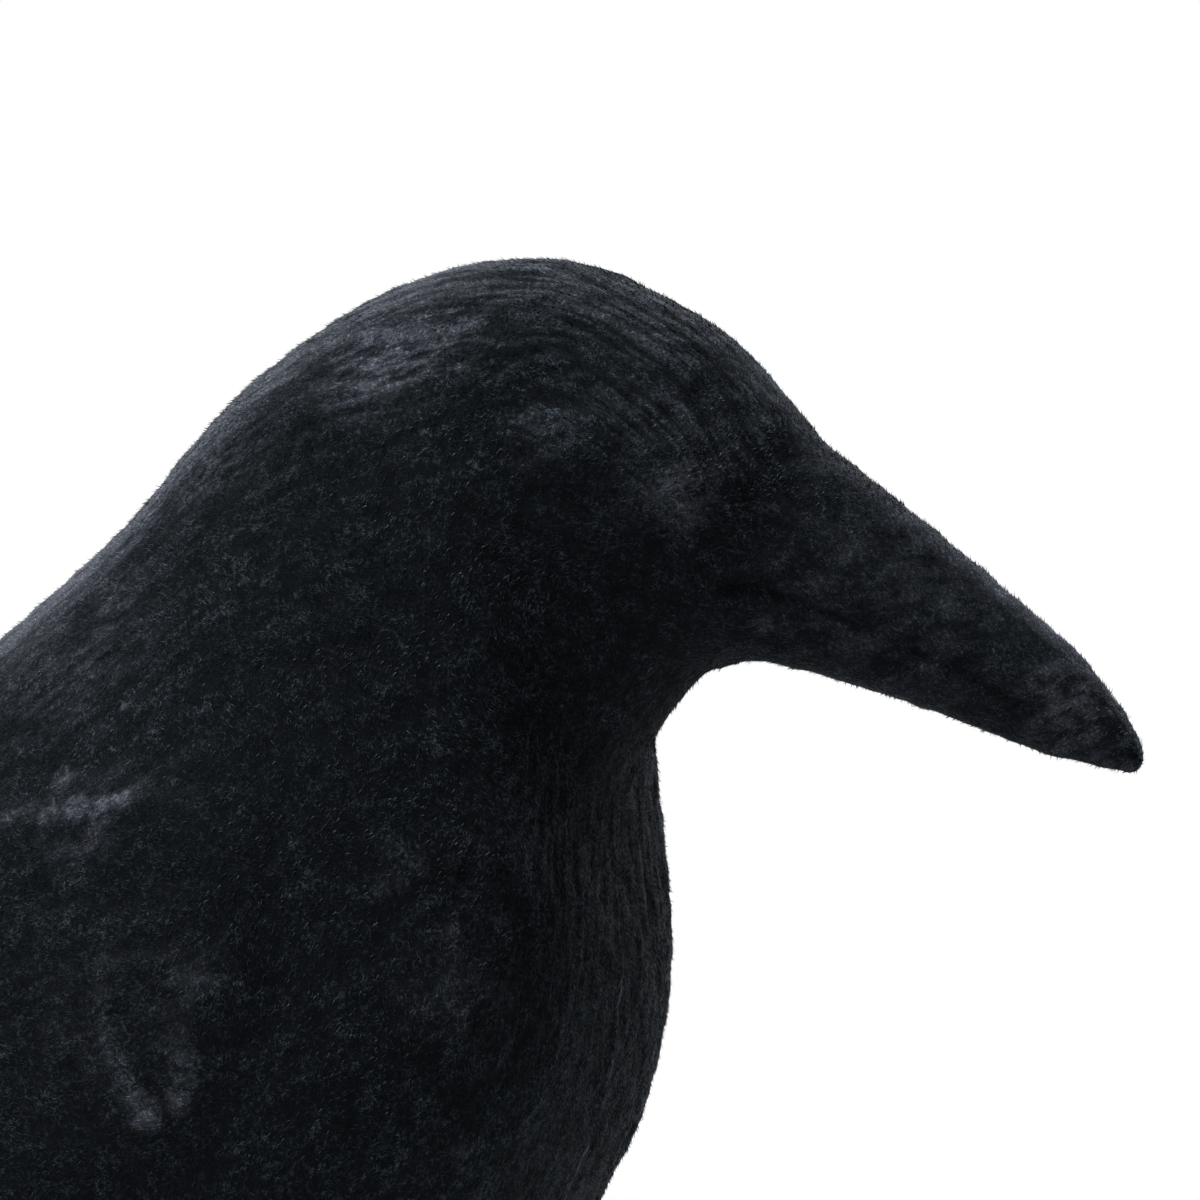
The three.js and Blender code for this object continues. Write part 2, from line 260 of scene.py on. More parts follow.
def foldRelief(at):
    out = np.zeros(len(at))
    for fold in folds:
        points = np.array(fold["line"], float)
        away = np.full(len(at), np.inf)
        for a, b in zip(points, points[1:]):
            share = np.clip(((at[:, [0, 2]] - a) @ (b - a)) / ((b - a) @ (b - a)), 0, 1)
            nearest = a + share[:, None] * (b - a)
            away = np.minimum(away, np.linalg.norm(at[:, [0, 2]] - nearest, axis=1))
        out += fold["rise"] * bell(away / fold["half"])
    return out

def fanPhase(t, at):                         # whole where one tail feather leaves the next
    return np.abs(at[..., 1]) / (through(halfWidth, t) * tail["feather"])

def tailHere(t):
    return past(t, tail["from"], tail["fade"][0]) * (1 - past(t, tail["end"], tail["fade"][1]))

def onSides(turn):
    return rising(np.abs(np.sin(turn)), *head["sides"])

def creases(t, turn, at):                    # 1 along the furrows where one feather leaves the next
    def crease(phase):
        return bell((phase - np.round(phase)) / strands["creaseHalf"])
    rise, side = onSection(t, turn)
    h = (1 + rise) / 2
    inside = insideWing(t, h, np.abs(side))
    onWing = rising(inside, *wing["smoothRim"]) * longHere(t) * uncovered(t, h)
    return np.maximum(crease(longPhase(t, h)) * onWing, crease(fanPhase(t, at)) * tailHere(t))

def carving(t, turn, at):
    rise, side = onSection(t, turn)
    h = (1 + rise) / 2                       # 0 below and 1 on the back
    edge = np.array(head["faceEdge"])
    fromEdge = t - through(edge, h * (len(edge) - 1))
    out = -head["faceGroove"] * rising(h, *head["faceRise"]) * bell(fromEdge / head["faceHalf"])
    out += np.where(t < head["end"], onSides(turn) * headRelief(t, h, at), 0)
    out += rising(t, head["end"], wing["front"]) * wingRelief(t, h, np.abs(side))
    behindNape = bell((t - wing["nape"]) / wing["napeHalf"])
    out -= wing["napeHollow"] * behindNape * rising(h, *wing["napeHeight"])
    groove = bell(at[..., 1] / wing["backGrooveHalf"]) * past(t, wing["coverts"][1], 1)
    groove *= 1 - past(t, wing["backGrooveEnd"], wing["backGrooveFade"])
    out -= np.where(h > 0.5, wing["backGroove"] * groove, 0)
    fan = lapped(fanPhase(t, at)) - 0.5
    return out + tail["share"] * wing["featherRise"] * fan * tailHere(t)


# Fine relief: strands that run along the feathers, and the unevenness of the flock. Strands
# lie between two stations, with soft ends, and over a range of heights on the section.
strands = {
    "crown": {"across": 1.9, "along": 11, "rise": 0.3, "girth": 75, "shift": 3.7,
              "between": (3.4, 8.6, 0.4), "height": (0.5, 0.72),
              "weaker": 0.4, "weakerFrom": (5.5, 7.5)},
    "hackles": {"across": 2.0, "along": 12, "rise": 0.17, "girth": 105, "shift": 9.1,
                "between": (5.6, 10.4, 0.6), "height": (0.35, 0.62), "combed": 0.35},
    "mantle": {"across": 2.4, "along": 12, "rise": 0.26, "girth": 150, "shift": 14.3,
               "between": (8.6, 12.5, 0.6), "height": (0.4, 0.6), "combed": 0.5},
    "furrow": 3.5,                           # the more, the thinner the furrows between strands
    "lumps": {"size": 2.9, "rise": 0.3, "shift": 0},
    "pile": {"size": 1.3, "rise": 0.08, "shift": 31},
    "seamRise": 0.4, "seamHalf": 0.4, "seamFrom": (5.5, 8.2), "seamTo": 10.5, "seamFade": 0.6,
    "seamSize": 2.3, "seamLeast": 0.6, "seamShift": 57,
    "swirl": 2.2, "swirlSize": 17,           # how far the nap turns aside, and over what breadth
    "sunk": 0.2,                             # the skin lies this far inside the tips of the flock
    "level": 0.25, "lift": 1.1,              # how light the flock is by how far it is raised, from rubbing and painted highlight
    "headLift": 0.2,                         # how much of the head's carving counts in that
    "crease": 0.8, "creaseHalf": 0.1,        # painted shade: how much darker it is between the feathers
    "combed": 0.3, "combedBetween": (4.2, 11, 0.8),     # how much it is combed elsewhere
    # Painted rim highlight along the ridge of the back, station by station, and to what height on
    # the section.
    "ridge": (0.9, 1.0, 0.65, 0.25, 0.15, 0.2, 0.35, 0.9, 1.4, 1.3, 1.0, 0.7, 0.45, 0.35, 0.3, 0.3),
    "ridgeHeight": (0.9, 0.985),
}

def noiseAt(places):
    return np.array([noise.noise(Vector(p)) for p in places])

def strand(along, turn, kind):
    around = (turn / math.pi) * kind["girth"]
    places = np.stack([along / kind["along"], around / kind["across"],
                       np.full(len(along), kind["shift"])], axis=-1)
    return kind["rise"] * np.minimum(1, strands["furrow"] * np.abs(noiseAt(places)))

def fineRelief(t, turn, at):
    h = (1 + onSection(t, turn)[0]) / 2
    along = through(middleLength, t)
    kinds = strands["crown"], strands["hackles"], strands["mantle"]
    crown, hackles, mantle = (between(t, *kind["between"]) for kind in kinds)
    crown *= rising(h, *kinds[0]["height"])
    crown *= 1 - kinds[0]["weaker"] * rising(t, *kinds[0]["weakerFrom"])
    hackles *= 1 - rising(h, *kinds[1]["height"])
    mantle *= rising(h, *kinds[2]["height"])
    out = 0
    for here, kind in zip((crown, hackles, mantle), kinds):
        out = out + here * strand(along, turn, kind)
    for kind in (strands["lumps"], strands["pile"]):
        out += kind["rise"] * noiseAt(at / kind["size"] + kind["shift"])
    seamHere = rising(t, *strands["seamFrom"])
    seamHere = seamHere * (1 - past(t, strands["seamTo"], strands["seamFade"])) * (h < 0.5)
    seam = bell(at[..., 1] / strands["seamHalf"]) * seamHere
    rough = noiseAt(at / strands["seamSize"] + strands["seamShift"])
    out += seam * strands["seamRise"] * (strands["seamLeast"] + rough)

    folded, carvedHead = foldRelief(at), np.where(t < head["end"], headRelief(t, h, at), 0)
    small = out + onSides(turn) * (folded + strands["headLift"] * carvedHead)
    # Lighter where raised, from rubbing and painted highlight, with painted shade in the creases
    # between the feathers.
    raised = np.clip(strands["level"] + strands["lift"] * small, 0, 1)
    raised *= 1 - strands["crease"] * creases(t, turn, at)
    combed = crown + kinds[1]["combed"] * hackles + kinds[2]["combed"] * mantle
    least = strands["combed"] * between(t, *strands["combedBetween"])
    # raised carries rubbing, painted highlight and painted crease shade to the colour, and ridge the
    # painted rim highlight.
    kept = {"raised": raised, "seam": seamHere, "grooved": np.clip(combed, least, 1),
            "along": along, "around": np.abs(turn) / math.pi * through(girth, t),
            "ridge": through(np.array(strands["ridge"]), t) * rising(h, *strands["ridgeHeight"])}
    return out + onSides(turn) * folded, kept

def unit(ways):                              # at length 1, and never divided by 0
    return ways / (np.linalg.norm(ways, axis=-1, keepdims=True) + 1e-12)

def carved(t, turn):
    step = 0.01
    at = smoothBody(t, turn)
    alongWay = smoothBody(t + step, turn) - smoothBody(t - step, turn)
    roundWay = smoothBody(t, turn + step) - smoothBody(t, turn - step)
    normal = unit(np.cross(roundWay, alongWay))
    fine, kept = fineRelief(t, turn, at)
    out = carving(t, turn, at) + fine - strands["sunk"]
    swirl = (strands["swirl"] * noiseAt(at / strands["swirlSize"]))[..., None]
    alongWay = unit(alongWay)
    nap = alongWay * np.cos(swirl) + np.cross(normal, alongWay) * np.sin(swirl)
    return at + normal * out[..., None], nap, kept

def meshStep(t):                             # finer on the head and coarser behind the breast
    finer = 1 - shell["headFiner"] * between(t, *shell["headBetween"])
    coarser = 1 + shell["hindCoarser"] * rising(t, *shell["hindFrom"])
    return shell["meshStep"] * finer * coarser

def ringTimes():                             # where the rings stand
    fine = np.linspace(0, lastStation, shell["lengthSteps"])
    def pace(x, z):                          # millimetres a station
        return np.hypot(np.gradient(through(x, fine), fine), np.gradient(through(z, fine), fine))
    longer = np.maximum(pace(topX, topZ), shell["bellyCoarser"] * pace(bottomX, bottomZ))
    steps = longer[1:] / meshStep(fine[1:]) * (fine[1] - fine[0])
    travelled = np.concatenate([[0], np.cumsum(steps)])
    times = np.interp(np.linspace(0, travelled[-1], int(travelled[-1])), travelled, fine)
    ending = [lastStation - away for away in shell["tailRings"]]
    return np.concatenate([shell["tipRings"], times[1:-1], ending])

def pointsOn(t):                             # how many points a ring has
    least = shell["ringPoints"]              # or a multiple of it
    points = least * np.round(through(girth, t) / (least / 2 * meshStep(t)))
    return np.clip(points, least, None).astype(int)

def stitched(first, second):                 # triangles between two rings of points
    n, m = len(first), len(second)
    faces = []
    i = j = 0
    while i < n or j < m:
        a, c = first[i % n], second[j % m]
        if j * n >= i * m and i < n:
            b = first[(i + 1) % n]
            faces.append((a, b, c))
            i += 1
        else:
            d = second[(j + 1) % m]
            faces.append((a, d, c))
            j += 1
    return faces

def makeShell():
    times = ringTimes()
    counts = pointsOn(times)
    t = np.repeat(times, counts)
    turn = np.concatenate([np.linspace(-math.pi, math.pi, n, endpoint=False) for n in counts])
    points, nap, kept = carved(t, turn)
    points[:, 2] = np.maximum(points[:, 2], 0)          # the flat that it stands on
    starts = np.concatenate([[0], np.cumsum(counts)])
    rings = [list(range(starts[k], starts[k + 1])) for k in range(len(times))]
    faces = []
    for ring, following in zip(rings, rings[1:]):
        faces += stitched(ring, following)
    ends = smoothBody(np.array([0.0, lastStation]), np.array([0.0, 0.0]))
    tip, tail = len(points), len(points) + 1
    for a, b in zip(rings[0], rings[0][1:] + rings[0][:1]):
        faces.append((tip, b, a))
    for a, b in zip(rings[-1], rings[-1][1:] + rings[-1][:1]):
        faces.append((tail, a, b))
    mesh = bpy.data.meshes.new("flocked_shell")
    mesh.from_pydata((np.concatenate([points, ends]) * mm).tolist(), [], faces)
    mesh.polygons.foreach_set("use_smooth", np.ones(len(faces), bool))
    napAll = np.concatenate([nap, nap[:1], nap[-1:]])
    for name, values in {"station": t, **kept}.items():
        layer = mesh.attributes.new(name, "FLOAT", "POINT")
        layer.data.foreach_set("value", np.append(values, values[[0, -1]]).astype(np.float32))
    lay = mesh.attributes.new("nap", "FLOAT_VECTOR", "POINT")
    lay.data.foreach_set("vector", napAll.astype(np.float32).ravel())
    mesh.validate()
    piece = bpy.data.objects.new("flocked_shell", mesh)
    bpy.context.collection.objects.link(piece)
    print("shell:", len(mesh.polygons), "triangles")
    return piece


# Flock: very dark short fibres with a faint blue cast, greyer where rubbing wears them, with painted
# highlights, painted top light and painted shade in the furrows and creases. A noise is given by its
# scale, detail, roughness and distortion, and a tone by a range and what it becomes. Each patch or
# mark of rubbing and painted highlight is a place in millimetres, its radius and its strength.
flock = {
    "deep": (0.0042, 0.0056, 0.0072), "fibre": (0.048, 0.063, 0.077),
    # the pale grey of rubbing, also used for painted highlights, painted top light and painted rim
    # light
    "rubbedAndLit": (0.238, 0.264, 0.325),
    "curls": (950, 1200, 1500), "curlNoise": (1, 0.6, 1.2), "curlHalf": 0.05,
    "curlShift": (0.3, 0.17, 0.4), "curlBreaks": (1500, 1), "curlRange": (0.4, 0.75),
    "clumps": (240, 3, 0.55), "clumpTone": (0.32, 0.68, 0.5, 1.25),
    "tufts": (620, 2, 0.5), "tuftTone": (0.35, 0.65, 0.45, 1.35),
    "raisedTone": (0, 1, 0.45, 1.45),
    "rubbedAndLitDeep": 0.2, "roughness": 0.9, "specular": 0.05, "sheen": 0.26, "sheenRoughness": 0.18,
    "sheenTint": (0.58, 0.69, 0.82), "bump": 0.5, "bumpDepth": 0.0002,
    "streaks": (5.2, 2.6, 2.2), "streakTurn": -20, "streakNoise": (1, 5, 0.65),
    "streakTone": (0.4, 0.62, 0.1, 1),
    "dustAndTopLightOn": (0.45, 1.0, 0, 0.5), "dustAndTopLightTone": (0.35, 0.65, 0.55, 1),    # painted top light and dust, by how far up it faces
    "seamHalf": 0.28, "seamCore": 0.3, "seamShare": 0.45,
    "seamSway": 0.35, "seamSize": 2.5, "seamNoise": (3, 0.7), "seamSwayTone": (0.2, 0.8, -1, 1),
    "seamBreaks": (160, 2), "seamBreakRange": (0.38, 0.6),
    # painted shade in the furrows and painted light on the ridges along the feathers
    "furrowShadeAlong": 10, "furrowShadeAcross": 1.5, "furrowShadeNoise": (1, 2, 0.5, 0.4),
    "furrowShadeTone": (0.38, 0.62, 0.3, 1.8),
    # patches of rubbing and painted highlight, such as the lit band along the back and the lighter
    # bill and face
    "rubbedAndLitPatches": {
        "nape": (101, -17, 157, 14, 1.35), "napeFront": (109, -17.5, 157, 8, 1.2),
        "napeFoot": (86, -12, 154, 16, 0.55), "neck": (77, -18, 143, 17, 0.5),
        "back": (62.5, -28.1, 120.1, 24, 0.3), "crown": (134, -10, 159, 9, 0.4),
        "shoulderFoot": (72, -45, 97, 8, 0.3), "wing": (78, -50, 75, 22, 0.12),
        "foldHead": (78, -50, 80, 6, 0.35), "foldUpper": (88, -48, 80, 7, 0.3),
        "billEnd": (186, -4, 113, 10, 0.8), "billTip": (191, -2.5, 106.5, 8, 0.4),
        "bill": (166, -9, 125, 30, 0.22), "billSide": (160, -8.4, 130, 8, 0.3),
        "mouth": (152, -10, 127.5, 4, 0.5),
        "eye": (123, -19, 145, 7, 0.4), "face": (140, -16, 145, 20, 0.2),
        "tuft": (140.5, -17.4, 138.6, 6.5, 1.1), "tuftTop": (136.3, -16.8, 147.3, 4, 0.35),
        "brow": (148, -11, 146, 8, 0.12),
        "breast": (122.7, -25.7, 96.2, 12, 0.15), "breastFoot": (118, -34, 79, 12, 0.2),
    },
    "rubbedAndLitMarks": {                               # painted highlights and rubbing, small and sharp, most of them on the wing's bend
        "shoulder": (70.9, -42.3, 100.1, 3, 1.6), "shoulderBack": (67.6, -42.4, 99.1, 2.6, 1.0),
        "shoulderFront": (74.4, -42.7, 100.4, 2.4, 1.05),
        "shoulderEnd": (76.9, -42.3, 101.2, 2.6, 0.95),
        "shoulderLow": (74.7, -43.3, 98.6, 2.6, 0.7),
        "shoulderUnder": (73.6, -43.9, 96.8, 2.4, 0.45),
        "shoulderTop": (68, -38.7, 103.5, 2.4, 0.75),
        "backFoldTop": (78.5, -49.9, 72.4, 3.2, 0.3), "backFold": (79.4, -50.1, 70, 2.8, 0.35),
        "backFoldLow": (80.3, -50.2, 67.6, 2.8, 0.4), "backFoldFoot": (81.8, -50, 65.3, 2.6, 0.7),
        "backFoldTip": (83.3, -49.5, 63.4, 3.2, 1.2), "frontFoldTop": (87, -48.4, 72.5, 3.2, 0.3),
        "frontFold": (87.8, -48.1, 70.1, 2.8, 0.4), "frontFoldLow": (87.8, -48, 67.7, 2.8, 0.5),
        "frontFoldTip": (87, -48.6, 65.1, 2.8, 0.8),
        "breastTuftBack": (109.3, -38.2, 91, 2.2, 0.17),
        "breastTuft": (111.6, -37, 92.1, 2.2, 0.24),
        "breastTuftFront": (113.7, -35.7, 93.1, 2.2, 0.32),
        "breastTop": (110.1, -36.8, 95.9, 2.4, 0.12),
        "breastMiddle": (117.7, -34.8, 85.2, 2.2, 0.35),
        "breastEdge": (121.6, -30.1, 87, 2.2, 0.25), "breastLow": (118.7, -34.8, 75.8, 2, 0.38),
        "breastLowEnd": (118.5, -34.9, 73.6, 2, 0.3),
        "breastFoot": (117.3, -31.6, 58.5, 2.2, 0.25), "cheek": (136.3, -17.6, 146.1, 2, 0.4),
        "billBack": (155.9, -11.3, 127.6, 2.2, 0.4), "chin": (149.3, -11.1, 122.4, 2.4, 0.4),
    },
    "markBreaks": (700, 2), "markTone": (0.35, 0.6, 0.35, 1),
}

def node(tree, kind, **values):
    made = tree.nodes.new(kind)
    for name, value in values.items():
        setattr(made, name, value)
    return made

def noiseNode(tree, where, scale, detail, roughness=0.5, distortion=0.0):
    made = node(tree, "ShaderNodeTexNoise")
    tree.links.new(where, made.inputs["Vector"])
    made.inputs["Scale"].default_value = scale
    made.inputs["Detail"].default_value = detail
    made.inputs["Roughness"].default_value = roughness
    made.inputs["Distortion"].default_value = distortion
    return made.outputs["Fac"]

def spread(tree, value, start, end, low=0.0, high=1.0):
    made = node(tree, "ShaderNodeMapRange", interpolation_type="SMOOTHSTEP")
    tree.links.new(value, made.inputs["Value"])
    for name, number in zip(("From Min", "From Max", "To Min", "To Max"), (start, end, low, high)):
        made.inputs[name].default_value = number
    return made.outputs["Result"]

def maths(tree, kind, a, b):
    made = node(tree, "ShaderNodeMath", operation=kind)
    for socket, value in zip(made.inputs, (a, b)):
        if isinstance(value, (int, float)):
            socket.default_value = value
        else:
            tree.links.new(value, socket)
    return made.outputs["Value"]

def mixed(tree, factor, a, b):
    made = node(tree, "ShaderNodeMix", data_type="RGBA")
    tree.links.new(factor, made.inputs["Factor"])
    for name, colour in (("A", a), ("B", b)):
        socket = next(s for s in made.inputs if s.name == name and s.type == "RGBA")
        if isinstance(colour, tuple):
            socket.default_value = (*colour, 1)
        else:
            tree.links.new(colour, socket)
    return next(s for s in made.outputs if s.type == "RGBA")

def nearAny(tree, where, places):            # the strength of the places, less further off
    share = 0
    for x, y, z, radius, strength in places.values():
        away = node(tree, "ShaderNodeVectorMath", operation="DISTANCE")
        tree.links.new(where, away.inputs[0])
        away.inputs[1].default_value = (x * mm, y * mm, z * mm)
        patch = spread(tree, away.outputs["Value"], 0, radius * mm, strength, 0)
        share = maths(tree, "MAXIMUM", share, patch)
    return share

def rubbedAndLitShare(tree, where):                # 1 where rubbing and painted highlight, top light and rim light make the flock pale grey, 0 elsewhere
    share = nearAny(tree, where, flock["rubbedAndLitPatches"])
    rubbedAndLitMarks = nearAny(tree, where, flock["rubbedAndLitMarks"])
    breaks = noiseNode(tree, where, *flock["markBreaks"])
    rubbedAndLitMarks = maths(tree, "MULTIPLY", rubbedAndLitMarks, spread(tree, breaks, *flock["markTone"]))
    drawn = node(tree, "ShaderNodeMapping", vector_type="TEXTURE")
    tree.links.new(where, drawn.inputs["Vector"])
    drawn.inputs["Rotation"].default_value = (0, math.radians(flock["streakTurn"]), 0)
    drawn.inputs["Scale"].default_value = [length * mm for length in flock["streaks"]]
    streaks = noiseNode(tree, drawn.outputs["Vector"], *flock["streakNoise"])
    share = maths(tree, "MULTIPLY", share, spread(tree, streaks, *flock["streakTone"]))
    share = maths(tree, "MAXIMUM", share, rubbedAndLitMarks)
    # Painted top light with dust: paler the more the flock faces up.
    normal = node(tree, "ShaderNodeSeparateXYZ")
    tree.links.new(node(tree, "ShaderNodeNewGeometry").outputs["Normal"], normal.inputs[0])
    dustAndTopLight = spread(tree, normal.outputs["Z"], *flock["dustAndTopLightOn"])
    # painted rim highlight along the back's ridge, joined to the painted top light and dust
    ridge = node(tree, "ShaderNodeAttribute", attribute_name="ridge").outputs["Fac"]
    dustAndTopLight = maths(tree, "MAXIMUM", dustAndTopLight, ridge)
    dustAndTopLight = maths(tree, "MULTIPLY", dustAndTopLight, spread(tree, streaks, *flock["dustAndTopLightTone"]))
    return maths(tree, "MAXIMUM", share, dustAndTopLight)

def seamShare(tree, where):                  # 1 on the thin rough line where the halves meet
    place = node(tree, "ShaderNodeSeparateXYZ")
    tree.links.new(where, place.inputs[0])
    sway = noiseNode(tree, where, 1 / (flock["seamSize"] * mm), *flock["seamNoise"])
    sway = spread(tree, sway, *flock["seamSwayTone"])
    sway = maths(tree, "MULTIPLY", sway, flock["seamSway"] * mm)
    away = maths(tree, "ABSOLUTE", maths(tree, "ADD", place.outputs["Y"], sway), 0)
    half = flock["seamHalf"]
    line = spread(tree, away, flock["seamCore"] * half * mm, half * mm, flock["seamShare"], 0)
    here = node(tree, "ShaderNodeAttribute", attribute_name="seam").outputs["Fac"]
    broken = spread(tree, noiseNode(tree, where, *flock["seamBreaks"]), *flock["seamBreakRange"])
    return maths(tree, "MULTIPLY", maths(tree, "MULTIPLY", line, here), broken)

def furrowShading(tree):                         # painted shade in thin furrows and painted light on ridges along the feathers
    course = node(tree, "ShaderNodeCombineXYZ")
    for name, length, socket in (("along", "furrowShadeAlong", "X"), ("around", "furrowShadeAcross", "Y")):
        mark = node(tree, "ShaderNodeAttribute", attribute_name=name).outputs["Fac"]
        tree.links.new(maths(tree, "DIVIDE", mark, flock[length]), course.inputs[socket])
    drawn = noiseNode(tree, course.outputs["Vector"], *flock["furrowShadeNoise"])
    tone = spread(tree, drawn, *flock["furrowShadeTone"])
    here = node(tree, "ShaderNodeAttribute", attribute_name="grooved").outputs["Fac"]
    return maths(tree, "ADD", 1, maths(tree, "MULTIPLY", here, maths(tree, "SUBTRACT", tone, 1)))

def finishFlock(mat, lit, where):            # the colour, from dark to fibre grey to the pale grey of rubbing and painted highlight
    tree = mat.node_tree
    shader = tree.nodes["Principled BSDF"]
    clumps = noiseNode(tree, where, *flock["clumps"])
    shown = maths(tree, "MULTIPLY", lit, spread(tree, clumps, *flock["clumpTone"]))
    tufts = noiseNode(tree, where, *flock["tufts"])
    shown = maths(tree, "MULTIPLY", shown, spread(tree, tufts, *flock["tuftTone"]))
    # Lighter where raised and darker in the creases: rubbing, painted highlight and painted crease
    # shade.
    raised = node(tree, "ShaderNodeAttribute", attribute_name="raised").outputs["Fac"]
    shown = maths(tree, "MULTIPLY", shown, spread(tree, raised, *flock["raisedTone"]))
    drawn = furrowShading(tree)
    shown = maths(tree, "MULTIPLY", shown, drawn)
    plain = mixed(tree, shown, flock["deep"], flock["fibre"])
    rubbedAndLitDeep = tuple(flock["rubbedAndLitDeep"] * c for c in flock["rubbedAndLit"])
    wornAndLit = mixed(tree, lit, rubbedAndLitDeep, flock["rubbedAndLit"])
    # paler from rubbing, and where highlights, top light and rim light are painted
    colour = mixed(tree, maths(tree, "MULTIPLY", rubbedAndLitShare(tree, where), drawn), plain, wornAndLit)
    colour = mixed(tree, seamShare(tree, where), colour, flock["rubbedAndLit"])
    tree.links.new(colour, shader.inputs["Base Color"])
    shader.inputs["Roughness"].default_value = flock["roughness"]
    shader.inputs["Specular IOR Level"].default_value = flock["specular"]
    shader.inputs["Sheen Weight"].default_value = flock["sheen"]
    shader.inputs["Sheen Roughness"].default_value = flock["sheenRoughness"]
    shader.inputs["Sheen Tint"].default_value = (*flock["sheenTint"], 1)
    return tree, shader

def curls(tree, where):                      # thin curled strokes, broken into short lengths
    lines = None
    x, y, z = flock["curlShift"]
    for k, scale in enumerate(flock["curls"]):
        shifted = node(tree, "ShaderNodeVectorMath", operation="ADD")
        tree.links.new(where, shifted.inputs[0])
        shifted.inputs[1].default_value = (x * k, y, z * k)
        bend = noiseNode(tree, shifted.outputs["Vector"], scale, *flock["curlNoise"])
        away = maths(tree, "ABSOLUTE", maths(tree, "SUBTRACT", bend, 0.5), 0)
        line = spread(tree, away, 0, flock["curlHalf"], 1, 0)
        breaks = noiseNode(tree, shifted.outputs["Vector"], *flock["curlBreaks"])
        line = maths(tree, "MULTIPLY", line, spread(tree, breaks, *flock["curlRange"]))
        lines = line if lines is None else maths(tree, "MAXIMUM", lines, line)
    return lines

def flockMaterial():
    mat = bpy.data.materials.new("black_flock")
    mat.use_nodes = True
    tree = mat.node_tree
    where = node(tree, "ShaderNodeTexCoord").outputs["Object"]
    lit = curls(tree, where)
    tree, shader = finishFlock(mat, lit, where)
    bump = node(tree, "ShaderNodeBump")
    tree.links.new(lit, bump.inputs["Height"])
    bump.inputs["Strength"].default_value = flock["bump"]
    bump.inputs["Distance"].default_value = flock["bumpDepth"]
    tree.links.new(bump.outputs["Normal"], shader.inputs["Normal"])
    return mat

body = makeShell()
flockMat = flockMaterial()
body.data.materials.append(flockMat)
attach(body, "root")
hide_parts("decoy_body")
print("shell dressed")


# The flock's standing fibres: thin closed spikes that lean along the feathers, in one piece for
# each stretch of the bird between two stations.
fibres = {
    "length": 0.66, "thickness": 0.13, "sides": 3, "lean": 2.6, "spread": 1.3, "seed": 5,
    "sizes": (0.5, 1.2),                     # the shortest and longest, as shares of the length
    "bareBelow": 0.6,                        # none on the flat underside
    "shade": (0.3, 1.0, 0.05, 0.85),         # a fibre's own random number, and its tone
    "stretches": {                           # from station, to station, fibres a square mm
        "flock_head": (-1, 6.3, 3.2), "flock_breast": (6.3, 8.6, 2.6),
        "flock_shoulders": (8.6, 9.8, 2.2), "flock_wings": (9.8, 11.2, 2.0),
        "flock_rump": (11.2, 12.8, 1.8), "flock_tail": (12.8, 20, 1.8),
    },
}

